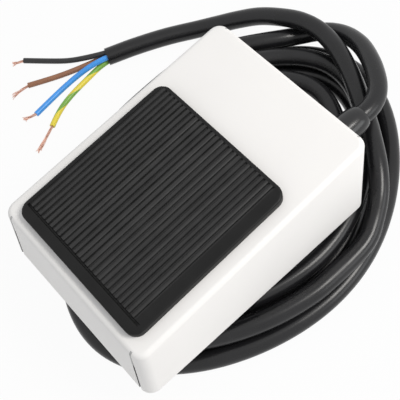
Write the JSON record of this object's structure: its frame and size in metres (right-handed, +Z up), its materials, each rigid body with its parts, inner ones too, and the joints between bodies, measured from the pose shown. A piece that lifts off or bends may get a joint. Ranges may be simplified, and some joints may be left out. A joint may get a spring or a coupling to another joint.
{
  "type": "foot switch",
  "caption": "Low pedal foot switch: a hinged steel cover with a ribbed tread mat over a base with return springs and a snap switch, on its coiled flex with stripped cores.",
  "frame": {"origin": "middle of the body's box (the switch without its free cord), halfway between the feet's underside and the highest point of the tread", "axes": "+Z up, +Y towards the back where the cord leaves, +X to the right seen from the front"},
  "size_m": [0.1748, 0.1597, 0.0577],
  "materials": {
    "cover_paint": "fine satin powder coat, warm off-white",
    "mat_rubber": "matt moulded rubber",
    "zinc_steel": "bright zinc plate",
    "spring_steel": "bright spring wire",
    "bush_brass": "turned",
    "foot_rubber": "matt",
    "case_plastic": "moulded, fine texture",
    "plunger_plastic": "moulded",
    "contact_brass": "rolled sheet",
    "relief_plastic": "smooth moulded",
    "cord_pvc": "extruded, slight sheen",
    "core_black_pvc": "extruded",
    "core_brown_pvc": "extruded",
    "core_blue_pvc": "extruded",
    "core_green_yellow_pvc": "extruded, green and yellow stripes",
    "bare_copper": "stranded bare copper"
  },
  "bodies": {
    "base": {"base_plate": "zinc_steel", "stop_hook": "zinc_steel", "hinge_pins": "zinc_steel", "pin_clips": "zinc_steel", "stop_buffers": "foot_rubber", "return_spring_left": "spring_steel", "return_spring_right": "spring_steel", "rubber_feet": "foot_rubber", "switch_bracket": "zinc_steel", "bracket_rivets": "zinc_steel", "switch_case": "case_plastic", "switch_lid": "case_plastic", "lever_pin": "zinc_steel", "switch_terminals": "contact_brass", "switch_screws": "zinc_steel", "switch_nuts": "zinc_steel", "strain_relief": "relief_plastic", "clamp_block": "case_plastic", "cord_clamp": "case_plastic", "clamp_screws": "zinc_steel", "earth_screw": "zinc_steel", "earth_tag": "contact_brass", "inner_lead_black": "core_black_pvc", "inner_lead_brown": "core_brown_pvc", "inner_lead_blue": "core_blue_pvc", "inner_lead_green": "core_green_yellow_pvc", "cord_inner": "cord_pvc", "cord_lead": "cord_pvc", "cord_coil": "cord_pvc", "cord_tail": "cord_pvc", "core_black": "core_black_pvc", "core_brown": "core_brown_pvc", "core_blue": "core_blue_pvc", "core_green_yellow": "core_green_yellow_pvc", "copper_black": "bare_copper", "copper_brown": "bare_copper", "copper_blue": "bare_copper", "copper_green_yellow": "bare_copper"},
    "pedal": {"pedal_cover": "cover_paint", "tread_mat": "mat_rubber", "hinge_lugs": "zinc_steel", "hinge_bushes": "bush_brass", "spring_cups": "zinc_steel", "actuator_post": "zinc_steel", "catch_lip": "zinc_steel"},
    "lever": {"switch_lever": "zinc_steel"},
    "plunger": {"switch_plunger": "plunger_plastic"},
    "blade": {"contact_blade": "contact_brass"}
  },
  "joints": [
    {"name": "pedal_hinge", "type": "hinge", "parent": "base", "child": "pedal", "pos_m": [0, 0.04, -0.00909], "axis": [1, 0, 0], "range_deg": [0, 2], "stiffness_Nm_per_rad": 9.2, "springref_deg": -5.04, "deforming": ["return_spring_left", "return_spring_right"]},
    {"name": "lever_hinge", "type": "hinge", "parent": "base", "child": "lever", "pos_m": [0, 0.012, 0.00851], "axis": [1, 0, 0], "range_deg": [0, 4.8]},
    {"name": "plunger_slide", "type": "slide", "parent": "base", "child": "plunger", "axis": [0, 0, -1], "range_m": [0, 0.00068]},
    {"name": "blade_hinge", "type": "hinge", "parent": "base", "child": "blade", "pos_m": [0, -0.008, -0.00109], "axis": [-1, 0, 0], "range_deg": [0, 3.2]}
  ],
  "couplings": [
    {"joint": "lever_hinge", "follows": "pedal_hinge", "ratio": 2.4},
    {"joint": "plunger_slide", "follows": "pedal_hinge", "m_per_rad": 0.0192},
    {"joint": "blade_hinge", "follows": "pedal_hinge", "ratio": 1.6}
  ]
}
